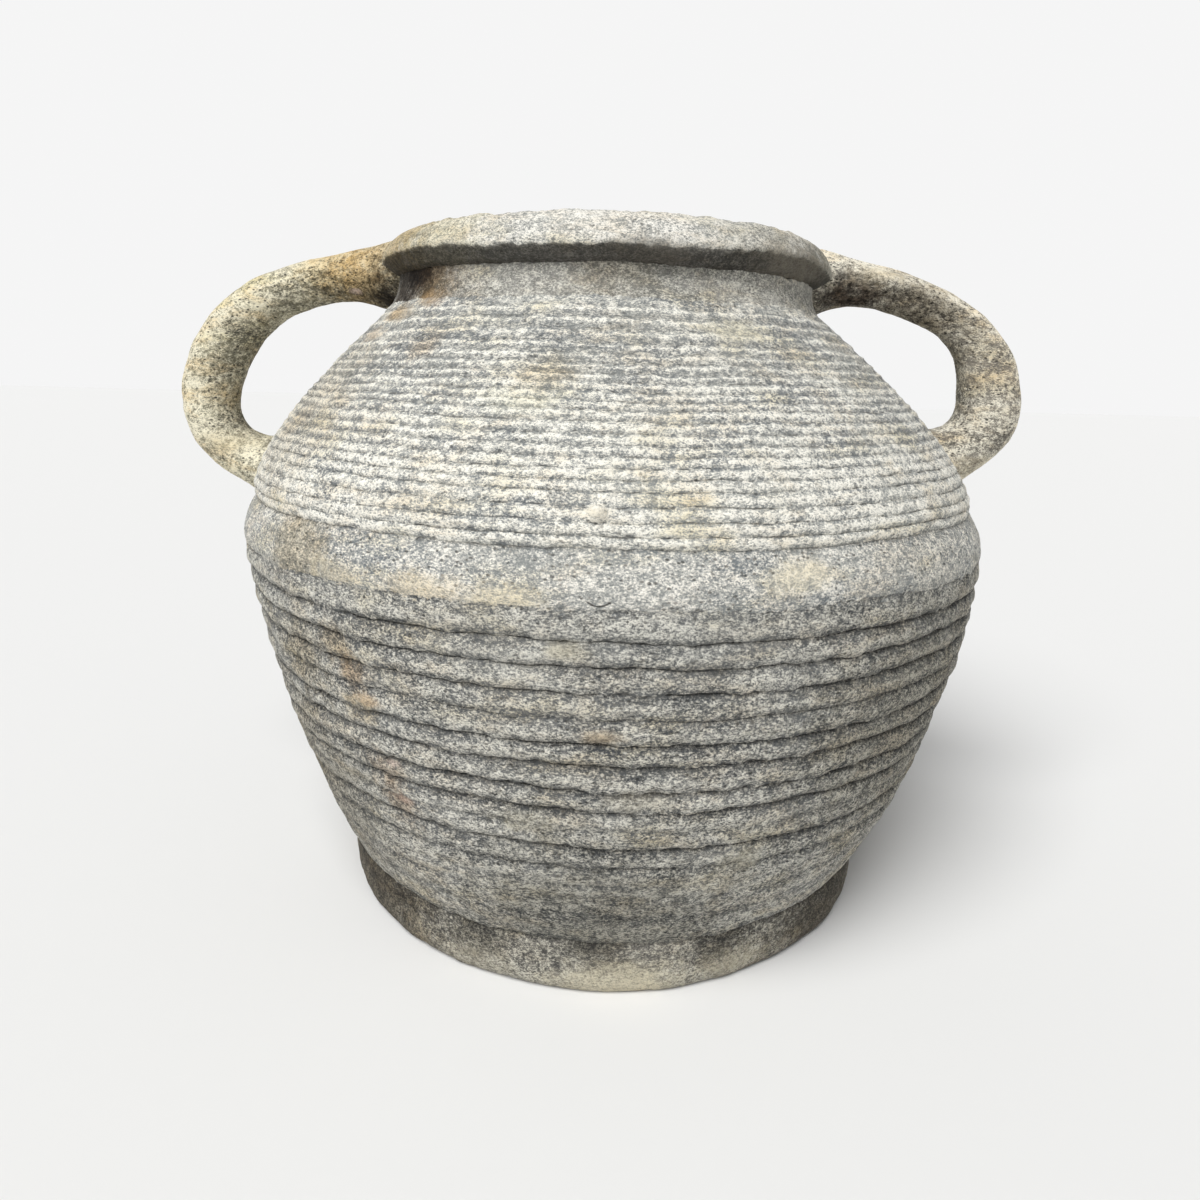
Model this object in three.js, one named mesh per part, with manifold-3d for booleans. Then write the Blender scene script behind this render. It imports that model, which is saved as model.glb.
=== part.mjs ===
// A grey earthenware cooking pot, thrown on the wheel in sections and luted together: foot collar, floor
// slab, finger-ribbed lower wall, plain belly band, combed shoulder, neck, rolled rim and two rod handles.
// Millimetres, +Z up. The origin is on the pot's axis, in the plane that the foot rests on.
import * as THREE from "three";
import { mergeVertices } from "three/addons/utils/BufferGeometryUtils.js";
import Module from "manifold-3d";

const wasm = await Module();
wasm.setup();

// Driving dimensions, in millimetres: the sections, from the ground up
const footHeight = 17;
const lowerWallHeight = 106;
const bandHeight = 15;
const shoulderHeight = 67;
const neckHeight = 11.5;
const rimHeight = 16;
const wallThickness = 7.5;
const lutingGap = 0.3;

// Outside radii where the sections meet, and how far each wall swells past a straight line between them,
// at a third and at two thirds of its height
const wallFootRadius = 95.4;
const bandBottomRadius = 135.5;
const bandTopRadius = 133.8;
const shoulderTopRadius = 83.6;
const neckTopRadius = 80.4;
const lowerWallSwell = [10.3, 7.6];
const bandSwell = [2.3, 2.4];
const shoulderSwell = [11.5, 6.2];
const neckSwell = [-1.3, -1.3];

// Foot collar and floor slab
const footRestRadius = 90.5;
const footBulge = 3.1;
const footBulgeHeight = 6;
const footRingWidth = 15;
const footEdgeRound = 3;
const floorSlabThickness = 8;

// Ribs and comb lines: the lowest rib is wide, and the pitch of the others grows a little on the way up.
// The shares say where a ridge reaches the full radius, on the way from one groove to the next
const lowestRibHeight = 11.4;
const fingerRibCount = 14;
const fingerRibGrowth = 0.09;
const fingerRibDepth = 1.5;
const fingerRidgeShares = [0.3, 0.7];
const combPitch = 3.9;
const combDepth = 0.9;
const combRidgeShares = [0.25, 0.75];
const plainShoulderHeight = 2;
const bandCurveShares = [0.12, 0.45, 0.75];

// Rim
const rimOverhang = 6.6;
const rimLipDrop = 3.6;
const rimLipRound = 2;
const rimTopInset = 4.6;
const rimEdgeRound = 2.2;
const lidSeatWidth = 6;

// Handles: the crown is measured from the rim, the elbow and the heel from the top of the belly band
const leftHandle = { crownDrop: 18.5, crownSpread: 38, elbowRise: 35, heelRise: 9 };
const rightHandle = { crownDrop: 20, crownSpread: 43, elbowRise: 40, heelRise: 15 };
const handleOverhang = 20.5;
const handleRootRise = 4.5;
const handleRootDepth = 9;
const handleHeelBend = 8;
const handleHeelSlope = 4;
const handleTopThickness = 19;
const handleElbowThickness = 24;
const handleHeelThickness = 23;
const handleWidthShare = 1.12;
const handleTopArch = 1.5;
const handleElbowShare = 0.6;
const shoulderOfHandle = { out: 0.78, down: 0.45 };
const handleHeelTurn = 0.72;

// Fineness of the facets
const aroundSegments = 48;
const handleSides = 14;
const handleRings = 22;
const slopeStep = 0.5;
const longWallSteps = 10;
const shortWallSteps = 3;

// Heights of the joints above the ground
const bandBottom = footHeight + lowerWallHeight;
const bandTop = bandBottom + bandHeight;
const shoulderTop = bandTop + shoulderHeight;
const neckTop = shoulderTop + neckHeight;
const rimTop = neckTop + rimHeight;

const { lerp, degToRad } = THREE.MathUtils;

// The smooth outside of one section, as a cubic curve whose guide points are evenly spaced in height
function section(low, high, lowRadius, highRadius, swell) {
  const [lowSwell, highSwell] = swell;
  const guides = [[0, 0], [1 / 3, lowSwell], [2 / 3, highSwell], [1, 0]].map(([share, extra]) => {
    return new THREE.Vector2(lerp(lowRadius, highRadius, share) + extra, lerp(low, high, share));
  });
  return { low, high, curve: new THREE.CubicBezierCurve(...guides) };
}

const sections = [
  section(footHeight, bandBottom, wallFootRadius, bandBottomRadius, lowerWallSwell),
  section(bandBottom, bandTop, bandBottomRadius, bandTopRadius, bandSwell),
  section(bandTop, shoulderTop, bandTopRadius, shoulderTopRadius, shoulderSwell),
  section(shoulderTop, neckTop, shoulderTopRadius, neckTopRadius, neckSwell),
];

function outsideRadius(height) {
  const { low, high, curve } = sections.find((each) => height <= each.high) ?? sections[sections.length - 1];
  return curve.getPoint((height - low) / (high - low)).x;
}

function outsideSlope(height) {
  const low = Math.max(footHeight, height - slopeStep);
  const high = Math.min(neckTop, height + slopeStep);
  return (outsideRadius(high) - outsideRadius(low)) / (high - low);
}

function insideRadius(height) {
  return outsideRadius(height) - wallThickness * Math.hypot(1, outsideSlope(height));
}

// A point of the outside, sunk by the depth of a groove
function outsidePoint(height, sunk = 0) {
  return new THREE.Vector2(outsideRadius(height) - sunk, height);
}

// Points down a stretch of the inside of the wall
function insideStretch(low, high, steps) {
  const points = [];
  for (let i = 0; i <= steps; i += 1) {
    const height = lerp(high, low, i / steps);
    points.push(new THREE.Vector2(insideRadius(height), height));
  }
  return points;
}

// Points up a ribbed stretch of the outside: each groove, then its ridge at shares of the way to the next
function ribbed(grooves, depth, ridgeShares) {
  const points = [];
  for (let i = 0; i + 1 < grooves.length; i += 1) {
    points.push(outsidePoint(grooves[i], depth));
    for (const share of ridgeShares) points.push(outsidePoint(lerp(grooves[i], grooves[i + 1], share)));
  }
  return points;
}

// An arc of points that rounds an edge, from one angle to another: -90 degrees is its foot, 90 its top
function edgeArc(centreRadius, centreHeight, radius, from, to, steps) {
  const points = [];
  for (let i = 0; i <= steps; i += 1) {
    const angle = degToRad(lerp(from, to, i / steps));
    const out = radius * Math.cos(angle);
    const up = radius * Math.sin(angle);
    points.push(new THREE.Vector2(centreRadius + out, centreHeight + up));
  }
  return points;
}

// A closed solid from a three.js geometry
function solidOf(geometry) {
  const bare = geometry.clone();
  bare.deleteAttribute("normal");
  bare.deleteAttribute("uv");
  const merged = mergeVertices(bare, 1e-4);
  const vertProperties = merged.attributes.position.array;
  const triVerts = new Uint32Array(merged.index.array);
  const solid = new wasm.Manifold(new wasm.Mesh({ numProp: 3, vertProperties, triVerts }));
  if (solid.volume() > 0) return solid;
  return new wasm.Manifold(new wasm.Mesh({ numProp: 3, vertProperties, triVerts: triVerts.reverse() }));
}

// A solid of revolution about Z from a closed outline of (radius, height) points
function turned(outline) {
  const geometry = new THREE.LatheGeometry([...outline, outline[0]], aroundSegments);
  geometry.rotateX(Math.PI / 2);
  return solidOf(geometry);
}

// Foot collar: a thick ring with a step inside, on which the floor slab lies
const footInnerRadius = footRestRadius - footRingWidth;
const slabSeat = footHeight - floorSlabThickness;
const slabRadius = insideRadius(footHeight) - lutingGap;

function footCollarOutline() {
  const bulgeRadius = footRestRadius + footBulge;
  const seatRadius = slabRadius + lutingGap;
  return [
    new THREE.Vector2(footInnerRadius, 0),
    ...edgeArc(footRestRadius - footEdgeRound, footEdgeRound, footEdgeRound, -90, -25, 3),
    new THREE.Vector2(bulgeRadius, footBulgeHeight),
    new THREE.Vector2(bulgeRadius, (footBulgeHeight + footHeight) / 2),
    outsidePoint(footHeight, fingerRibDepth),
    new THREE.Vector2(seatRadius, footHeight),
    new THREE.Vector2(seatRadius, slabSeat),
    new THREE.Vector2(footInnerRadius, slabSeat),
  ];
}

function floorSlabOutline() {
  return [
    new THREE.Vector2(0, slabSeat),
    new THREE.Vector2(slabRadius, slabSeat),
    new THREE.Vector2(slabRadius, footHeight),
    new THREE.Vector2(0, footHeight),
  ];
}

// Lower wall: finger ribs, a narrow groove below each rounded ridge
function fingerGrooves() {
  const grooves = [footHeight];
  for (let i = 0; i <= fingerRibCount; i += 1) {
    const share = i / fingerRibCount;
    const eased = share * (1 - fingerRibGrowth * (1 - share));
    grooves.push(lerp(footHeight + lowestRibHeight, bandBottom, eased));
  }
  return grooves;
}

function lowerWallOutside() {
  const ribs = ribbed(fingerGrooves(), fingerRibDepth, fingerRidgeShares);
  return [...ribs, outsidePoint(bandBottom, fingerRibDepth)];
}

function lowerWallOutline() {
  return [...lowerWallOutside(), ...insideStretch(footHeight, bandBottom, longWallSteps)];
}

// Belly band: the plain strip that covers the joint of the two thrown halves
function bellyBandOutside() {
  const points = [outsidePoint(bandBottom, fingerRibDepth)];
  for (const share of bandCurveShares) points.push(outsidePoint(lerp(bandBottom, bandTop, share)));
  return [...points, outsidePoint(bandTop, combDepth)];
}

function bellyBandOutline() {
  return [...bellyBandOutside(), ...insideStretch(bandBottom, bandTop, shortWallSteps)];
}

// Shoulder: comb lines at an even pitch along the slope
function combGrooves() {
  const grooves = [];
  const highest = shoulderTop - plainShoulderHeight;
  for (let height = bandTop; height < highest; height += combPitch / Math.hypot(1, outsideSlope(height))) {
    grooves.push(height);
  }
  return [...grooves, shoulderTop];
}

function shoulderOutside() {
  return [...ribbed(combGrooves(), combDepth, combRidgeShares), outsidePoint(shoulderTop)];
}

function shoulderOutline() {
  return [...shoulderOutside(), ...insideStretch(bandTop, shoulderTop, longWallSteps)];
}

// Neck: a short concave collar
function neckOutside() {
  return [0, 1 / 3, 2 / 3, 1].map((share) => outsidePoint(lerp(shoulderTop, neckTop, share)));
}

function neckOutline() {
  return [...neckOutside(), ...insideStretch(shoulderTop, neckTop, shortWallSteps)];
}

// Rim: a rolled lip that overhangs the neck, with a sloping outer face and a flat top for a lid
const rimLipRadius = neckTopRadius + rimOverhang;
const rimTopRadius = rimLipRadius - rimTopInset;

function rimOutside() {
  return [
    outsidePoint(neckTop),
    ...edgeArc(rimLipRadius - rimLipRound, neckTop + rimLipDrop + rimLipRound, rimLipRound, -70, 20, 4),
    ...edgeArc(rimTopRadius - rimEdgeRound, rimTop - rimEdgeRound, rimEdgeRound, 20, 90, 3),
  ];
}

function rimOutline() {
  const innerRadius = insideRadius(neckTop);
  return [
    ...rimOutside(),
    new THREE.Vector2(rimTopRadius - rimEdgeRound - lidSeatWidth, rimTop),
    new THREE.Vector2(innerRadius, rimTop - rimEdgeRound),
    new THREE.Vector2(innerRadius, neckTop),
  ];
}

// The whole outside of the pot, grown by the luting gap: the handles' ends are cut to it
function clearanceOutline() {
  const outside = [
    ...lowerWallOutside(), ...bellyBandOutside(), ...shoulderOutside(), ...neckOutside(), ...rimOutside(),
  ];
  const grown = outside
    .filter((point, i) => i === 0 || point.y > outside[i - 1].y + 1e-6)
    .map((point) => new THREE.Vector2(point.x + lutingGap, point.y));
  const above = rimTop + wallThickness;
  return [
    new THREE.Vector2(0, footHeight),
    ...grown,
    new THREE.Vector2(rimTopRadius - rimEdgeRound, above),
    new THREE.Vector2(0, above),
  ];
}

// A rod of oval section along a path in the XZ plane, closed at both ends: a straight unit rod, then bent
function bentRod(path) {
  const profile = [new THREE.Vector2(0, 0)];
  for (let ring = 0; ring <= handleRings; ring += 1) profile.push(new THREE.Vector2(1, ring / handleRings));
  profile.push(new THREE.Vector2(0, 1));
  const rod = new THREE.LatheGeometry(profile, handleSides);
  const position = rod.attributes.position;
  for (let i = 0; i < position.count; i += 1) {
    const share = position.getY(i);
    const thickness = share < handleElbowShare
      ? lerp(handleTopThickness, handleElbowThickness, share / handleElbowShare)
      : lerp(handleElbowThickness, handleHeelThickness, (share - handleElbowShare) / (1 - handleElbowShare));
    const across = (position.getX(i) * thickness) / 2;
    const sideways = (position.getZ(i) * thickness * handleWidthShare) / 2;
    const centre = path.getPointAt(share);
    const along = path.getTangentAt(share);
    position.setXYZ(i, centre.x + along.z * across, sideways, centre.z - along.x * across);
  }
  return solidOf(rod);
}

// Handle: a rod from the neck, out over the shoulder and back to the wall above the belly band
function handleSolid({ crownDrop, crownSpread, elbowRise, heelRise }) {
  const at = (x, z) => new THREE.Vector3(x, 0, z);
  const reach = bandBottomRadius + handleOverhang;
  const root = at(neckTopRadius - handleRootDepth, neckTop + handleRootRise);
  const crown = at(rimLipRadius + crownSpread, rimTop - crownDrop);
  const elbow = at(reach, bandTop + elbowRise);
  const heel = at(outsideRadius(bandTop + heelRise) - handleRootDepth, bandTop + heelRise - handleHeelSlope);
  const path = new THREE.CatmullRomCurve3([
    root,
    at(rimLipRadius + crownSpread / 2, (root.z + crown.z) / 2 + handleTopArch),
    crown,
    at(lerp(crown.x, reach, shoulderOfHandle.out), lerp(crown.z, elbow.z, shoulderOfHandle.down)),
    elbow,
    at(lerp(heel.x, reach, handleHeelTurn), heel.z + handleHeelSlope + handleHeelBend),
    heel,
  ], false, "centripetal");
  const trimmed = bentRod(path).subtract(turned(clearanceOutline()));
  return trimmed.decompose().sort((a, b) => b.volume() - a.volume())[0];
}

// Fired clay in the pot's four tones
const fired = (color) => new THREE.MeshStandardMaterial({ color, roughness: 0.93, metalness: 0 });
const greyClay = fired(0x8c8b84);
const darkClay = fired(0x6f7070);
const paleClay = fired(0xa3a094);
const tanClay = fired(0x9c8f76);

const pot = new THREE.Group();

function addPiece(name, solid, material) {
  const { vertProperties, triVerts } = solid.getMesh();
  const geometry = new THREE.BufferGeometry();
  geometry.setAttribute("position", new THREE.BufferAttribute(vertProperties, 3));
  geometry.setIndex(new THREE.BufferAttribute(triVerts, 1));
  const mesh = new THREE.Mesh(geometry, material);
  mesh.name = name;
  pot.add(mesh);
}

addPiece("foot_collar", turned(footCollarOutline()), darkClay);
addPiece("floor_slab", turned(floorSlabOutline()), darkClay);
addPiece("lower_wall", turned(lowerWallOutline()), darkClay);
addPiece("belly_band", turned(bellyBandOutline()), greyClay);
addPiece("shoulder_wall", turned(shoulderOutline()), greyClay);
addPiece("neck_collar", turned(neckOutline()), greyClay);
addPiece("rim_lip", turned(rimOutline()), paleClay);
addPiece("handle_left", handleSolid(leftHandle).rotate([0, 0, 180]), tanClay);
addPiece("handle_right", handleSolid(rightHandle), tanClay);

export default pot;
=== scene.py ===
# %% [markdown]
# # A ribbed earthenware cooking pot
# The pot is grey earthenware. It was thrown on a wheel in sections, joined with slip and fired without a
# glaze. Long burial has left a pale, gritty crust of lime on its ridges and dark soil in its grooves, which
# the paint darkens further with painted shade. This script dresses the plain solids of the CAD model: each
# gets a fuller, hand-worked piece in its place.

# %% Load the frame
import itertools
import math

import bmesh
import bpy
import numpy as np
from mathutils import Matrix, Vector


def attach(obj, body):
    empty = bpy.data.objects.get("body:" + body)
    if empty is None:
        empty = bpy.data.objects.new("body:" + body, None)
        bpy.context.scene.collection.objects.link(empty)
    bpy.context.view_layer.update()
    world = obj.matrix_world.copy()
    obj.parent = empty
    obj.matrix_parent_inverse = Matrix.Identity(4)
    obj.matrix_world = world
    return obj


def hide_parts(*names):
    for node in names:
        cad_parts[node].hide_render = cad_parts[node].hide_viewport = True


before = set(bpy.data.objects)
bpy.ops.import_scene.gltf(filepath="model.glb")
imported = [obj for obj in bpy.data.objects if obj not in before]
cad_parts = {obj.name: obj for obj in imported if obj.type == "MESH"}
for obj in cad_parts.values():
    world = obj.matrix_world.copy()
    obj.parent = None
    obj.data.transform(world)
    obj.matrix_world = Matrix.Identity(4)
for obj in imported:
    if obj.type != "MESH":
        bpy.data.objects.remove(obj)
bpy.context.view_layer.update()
MM = 0.001
print("solids:", sorted(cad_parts))

# %% [markdown]
# ## The camera
# The photograph is a close view through a wide lens, level with the pot's shoulder. So the rim is seen from
# just below and the foot from well above. The lens looks straight ahead, and the frame is shifted down to
# hold the whole pot, with the horizon above its middle. The camera was tipped by a degree and a half, which
# makes the pot seem to lean.

# %% Set the camera
FRAME_HEIGHT = 1200
HORIZON = 382.5
camera = bpy.data.objects.new("close view", bpy.data.cameras.new("close view"))
camera.data.lens = 26
camera.data.sensor_width = 36
camera.data.shift_y = (HORIZON - FRAME_HEIGHT / 2) / FRAME_HEIGHT
camera.data.clip_start = 0.01
camera.location = (0, -0.3468, 0.1793)
camera.rotation_euler = (
    Matrix.Rotation(math.radians(0.84), 4, "Z")
    @ Matrix.Rotation(math.radians(90), 4, "X")
    @ Matrix.Rotation(math.radians(1.51), 4, "Z")
).to_euler()
bpy.context.scene.collection.objects.link(camera)
bpy.context.scene.camera = camera
print("camera stands", round(-camera.location.y, 3), "m in front of the pot's axis")

# %% [markdown]
# ## The thrown outline
# A potter's wall is one smooth curve with marks on it. Here each stretch of wall is a cubic curve through
# four guide radii, evenly spaced in height, which were measured on the photograph. Marks are cut into it
# afterwards.

# %% Wall curves
LOWER = (17, 123, (95.4, 119.1, 129.7, 135.5))
BAND = (123, 138, (135.5, 137.0, 136.6, 133.8))
SHOULDER = (138, 205, (133.8, 128.6, 106.5, 83.6))
NECK = (205, 216.5, (83.6, 81.2, 80.2, 80.4))
WALL = 7.5


def wall_radius(stretch, height):
    """The outside radius of a stretch of wall at a height, both in millimetres."""
    low, high, guides = stretch
    t = (height - low) / (high - low)
    s = 1 - t
    return s**3 * guides[0] + 3 * s * s * t * guides[1] + 3 * s * t * t * guides[2] + t**3 * guides[3]


def inside_radius(stretch, height):
    """The inside radius: a wall's thickness in, measured square to the wall's slope."""
    a, b = max(stretch[0], height - 1), min(stretch[1], height + 1)
    slope = (wall_radius(stretch, b) - wall_radius(stretch, a)) / (b - a)
    return wall_radius(stretch, height) - WALL * math.hypot(1, slope)


print("belly is", round(2 * max(wall_radius(BAND, z) for z in range(123, 139))), "mm across")

# %% [markdown]
# ## Ribs and comb lines
# Below the belly the potter's fingers left broad, rounded ribs. On the shoulder a toothed comb left fine
# lines: low down they part the clay into rolls, higher up only their thin raised edges stand out. Every row
# of the mesh is placed from its groove, so that a thin groove stays sharp all the way round. A row is (wall
# radius, height, sunk, crest, line): sunk is how deep it is cut, crest is 1 on a ridge, and line is 1 in
# the thin incised groove. The last two stay on the mesh as attributes, so that the paint knows the grooves.

# %% Rows of a ribbed wall
FINGER_GROOVES = (
    17, 28.4, 35.6, 40.6, 46.8, 53.8, 60.0, 65.9, 72.3, 79.8, 86.3, 93.9, 101.1, 108.2, 115.2, 123.0,
)
COMB_GROOVES = (
    138, 141.2, 144.6, 148.3, 152.0, 154.9, 157.8, 160.5, 163.3, 166.1, 169.3,
    172.3, 174.6, 177.1, 179.8, 182.3, 185.2, 188.1, 191.3, 195.4, 199.2, 203.0,
)
FAINT_GROOVES = {17: 0.45, 28.4: 0.35, 35.6: 0.35, 40.6: 0.15, 46.8: 0.7, 60.0: 0.3, 93.9: 0.7, 123.0: 0.35}
LINE_WIDTH = 0.5


def ribbed_rows(stretch, grooves, depth, line_depth, roundness, peak, spacing, base=0.0):
    """Rows up a stretch of wall with a rounded ridge between each two grooves, highest where share ** peak
    is 1/2. The higher the roundness is, the narrower are the ridges. Between them crest is at the base."""
    rows = []
    for low, high in zip(grooves, grooves[1:]):
        strength = FAINT_GROOVES.get(low, 1)
        line = (depth + line_depth) * strength
        rows.append((wall_radius(stretch, low), low, line, 1 - strength * (1 - base), strength))
        steps = max(3, round((high - low - 2 * LINE_WIDTH) / spacing))
        for i in range(steps + 1):
            height = low + LINE_WIDTH + (high - low - 2 * LINE_WIDTH) * i / steps
            share = (height - low) / (high - low)
            strength = FAINT_GROOVES.get(low if share < 0.5 else high, 1)
            short = strength * (1 - math.sin(math.pi * share**peak) ** roundness)
            rows.append((wall_radius(stretch, height), height, depth * short, 1 - short * (1 - base), 0.0))
    return rows


def plain_rows(stretch, low, high, count, crest):
    """Rows up a smooth stretch of wall."""
    heights = [low + (high - low) * i / count for i in range(count)]
    return [(wall_radius(stretch, h), h, 0.0, crest, 0.0) for h in heights]


def undercut_rows(stretch, low, high, count, depth, soft):
    """Rows of a plain band that overhangs what is below it by a depth, with a softly rounded lower edge."""
    rows = []
    for i in range(count):
        height = low + (high - low) * (i / count) ** 1.4
        full = math.sin(min(1, (height - low) / soft) * math.pi / 2)
        sunk, crest, line = depth * (1 - full), 0.5 + 0.3 * full, 0.15 * (1 - full)
        rows.append((wall_radius(stretch, height), height, sunk, crest, line))
    return rows


FINGER_RIBS = {"depth": 1.25, "line_depth": 0.25, "roundness": 0.85, "peak": 0.75, "spacing": 0.8}
ROLLS = {"depth": 0.3, "line_depth": 0.25, "roundness": 0.7, "peak": 1.2, "spacing": 0.6, "base": 0.45}
RIDGES = {"depth": 0.34, "line_depth": 0.15, "roundness": 1.8, "peak": 1.4, "spacing": 0.5, "base": 0.35}
THIN_EDGES = {"depth": 0.42, "line_depth": 0.0, "roundness": 6, "peak": 1.4, "spacing": 0.4, "base": 0.35}
outside = (
    ribbed_rows(LOWER, FINGER_GROOVES, **FINGER_RIBS)
    + undercut_rows(BAND, 123, 137.4, count=24, depth=0.5, soft=4)
    + ribbed_rows(SHOULDER, COMB_GROOVES[:8], **ROLLS)
    + ribbed_rows(SHOULDER, COMB_GROOVES[7:15], **RIDGES)
    + ribbed_rows(SHOULDER, COMB_GROOVES[14:], **THIN_EDGES)
    + plain_rows(SHOULDER, 203.0, 205, count=3, crest=0.5)
    + plain_rows(NECK, 205, 216.5, count=14, crest=0.5)
    + [(wall_radius(NECK, 216.5), 216.5, 0.0, 0.4, 0.0)]
)
inside = []
for stretch, count in ((LOWER, 14), (BAND, 3), (SHOULDER, 12), (NECK, 3)):
    low, high, _ = stretch
    heights = [low + (high - low) * i / count for i in range(count)]
    inside += [(inside_radius(stretch, h), h) for h in heights]
inside.append((inside_radius(NECK, 216.5), 216.5))
grooves = len(FINGER_GROOVES) + len(COMB_GROOVES)
print(len(outside), "rows outside and", len(inside), "inside, with", grooves, "grooves")

# %% [markdown]
# ## Noise for clay
# Everything uneven on the pot comes from smooth noise. Blender has noise functions, but they take one point
# at a time, and this pot has over half a million. So here is gradient noise for a whole array of points at
# once: each corner of a cubic lattice gets a random slope, and the slopes are blended smoothly between the
# corners.

# %% Gradient noise
shuffle = np.random.default_rng(11)
LATTICE = shuffle.permutation(256)
SLOPES = shuffle.normal(size=(256, 3))
SLOPES /= np.linalg.norm(SLOPES, axis=1)[:, None]


def grain(points, size, shift=0.0):
    """Smooth noise between about -1 and 1 at points in metres, with lumps of a size in millimetres."""
    spot = points / (size * MM) + shift
    cell = np.floor(spot).astype(int)
    within = spot - cell
    ease = within**3 * (within * (within * 6 - 15) + 10)
    total = np.zeros(len(points))
    for corner in itertools.product((0, 1), repeat=3):
        near = cell + corner
        pick = LATTICE[(LATTICE[(LATTICE[near[:, 0] & 255] + near[:, 1]) & 255] + near[:, 2]) & 255]
        slope = ((within - corner) * SLOPES[pick]).sum(axis=1)
        total += slope * np.where(corner, ease, 1 - ease).prod(axis=1)
    return total * 1.7


def ramp(values, low, high):
    """0 below low, 1 above high and a smooth rise between."""
    t = np.clip((values - low) / (high - low), 0, 1)
    return t * t * (3 - 2 * t)


test = grain(np.random.default_rng(1).uniform(-0.1, 0.1, (2000, 3)), 5)
print("noise runs from", round(test.min(), 2), "to", round(test.max(), 2))

# %% [markdown]
# ## The hand of the potter
# No thrown pot is true. This one leans a little to the left above the belly, its ribs wander up and down,
# and it is drawn in a little below the belly and under the shoulder. One function holds all of that, so
# every piece of the wall bends the same way and the joints stay closed. LEAN and DRAWN_IN are short tables
# of (height, shift) in millimetres. Below the settled height of the foot, which dried flat on its board,
# the ribs wander less and less.

# %% Bend like the real pot
LEAN = (
    (0, 0.2), (25, 0.7), (45, 2.1), (95, 2.0), (135, 0.4), (166, -0.8), (185, -2.4), (205, -3.7), (233, -3.3),
)
DRAWN_IN = (
    (0, -0.8), (12, -0.8), (17, 0), (40, 0.8), (60, 1.5), (80, 1.6), (90, 1.0), (118, 0.5), (125, 0.8),
    (137, 2.5), (143, 0.4), (150, 0),
)
SETTLED = 25


def hand_bent(points):
    """The place on the uneven, hand-made pot of points on the true turned shape, in metres."""
    radius = np.maximum(np.hypot(points[:, 0], points[:, 1]), 0.02)
    height = points[:, 2] / MM
    away = np.column_stack([points[:, 0] / radius, points[:, 1] / radius, np.zeros(len(points))])
    belt = away * 0.08 + np.column_stack([np.zeros((len(points), 2)), points[:, 2]])
    wide = grain(belt, 75) * 0.9
    wander = (
        grain(belt, 38, 3.3) * 0.6 + grain(belt, 11, 8.1) * 0.35
        + grain(belt, 4.5, 1.7) * 0.28 + grain(belt, 2, 6) * 0.2
    )
    wander *= np.clip(height / SETTLED, 0, 1)
    bent = points + away * (wide - np.interp(height, *zip(*DRAWN_IN)))[:, None] * MM
    bent[:, 0] += np.interp(height, *zip(*LEAN)) * MM
    bent[:, 2] += wander * MM
    return bent


print("the rim stands", -LEAN[-1][1], "mm to the left of the foot")

# %% [markdown]
# ## Turning a piece
# A thrown piece is an outline spun round the axis. The outline is one closed loop of vertices, up the
# outside and down the inside, so the spun mesh is a closed ring of clay with a real wall thickness. To save
# time a narrow slice is spun first, and then copies of the slice are spun round. Each piece reaches 0.8 mm
# past its joints, a hair below its neighbour's surface, so that the shading runs on over a joint as it does
# on the fused pot.

# %% Spin an outline
SLICES = 32
SLICE_STEPS = 32
OVERLAP = 0.8
TUCK = 0.05


def spin_rows(rows, slices=SLICES, steps=SLICE_STEPS, closed=True):
    """A solid of clay from a loop of rows (wall radius, height, sunk, crest, line, inner)."""
    bm = bmesh.new()
    layers = [bm.verts.layers.float.new(name) for name in ("sunk", "crest", "line", "inner")]
    loop = []
    for radius, height, *marks in rows:
        v = bm.verts.new(((radius - marks[0]) * MM, 0, height * MM))
        for layer, value in zip(layers, marks):
            v[layer] = value
        loop.append(v)
    for a, b in zip(loop, loop[1:] + (loop[:1] if closed else [])):
        bm.edges.new((a, b))
    axis = {"cent": (0, 0, 0), "axis": (0, 0, 1)}
    bmesh.ops.spin(bm, geom=bm.verts[:] + bm.edges[:], angle=math.tau / slices, steps=steps, **axis)
    rest = math.tau * (slices - 1) / slices
    whole = bm.verts[:] + bm.edges[:] + bm.faces[:]
    bmesh.ops.spin(bm, geom=whole, angle=rest, steps=slices - 1, use_duplicate=True, **axis)
    bmesh.ops.remove_doubles(bm, verts=bm.verts[:], dist=2e-6)
    bmesh.ops.recalc_face_normals(bm, faces=bm.faces[:])
    return bm


def wall_ring(low, high):
    """The rows of the wall between two heights, as a closed loop with a tucked edge past each joint."""
    outer = [row + (0.0,) for row in outside if low - 1e-6 <= row[1] <= high + 1e-6]
    inner = [(r, h, 0.0, 0.5, 0.0, 1.0) for r, h in inside if low + 1 < h < high - 1]
    outside_radii, outside_heights = zip(*(row[:2] for row in outside))
    inside_radii, inside_heights = zip(*inside)
    for end, way in ((0, -1), (-1, 1)):
        _, height, sunk, *_ = outer[end]
        past = height + way * OVERLAP
        if 17 < height < 216.5:
            radius = float(np.interp(past, outside_heights, outside_radii))
            outer.insert(len(outer) * -end, (radius, past, sunk * 0.4 + TUCK, 0.5, 0.0, 0.0))
        radius = float(np.interp(past, inside_heights, inside_radii)) + TUCK
        inner.insert(len(inner) * -end, (radius, outer[end][1], 0.0, 0.5, 0.0, 1.0))
    return outer + inner[::-1]


# %% [markdown]
# ## Crust, grit and pits
# Lime has settled on the ridges as small lumps, a millimetre or two across, with pits and bare clay between
# them. They are real bumps in the mesh. How thick the crust is stays on each vertex as an attribute for the
# paint. Here and there crust or smeared clay also fills the grooves, round the handles' roots above all.

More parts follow.
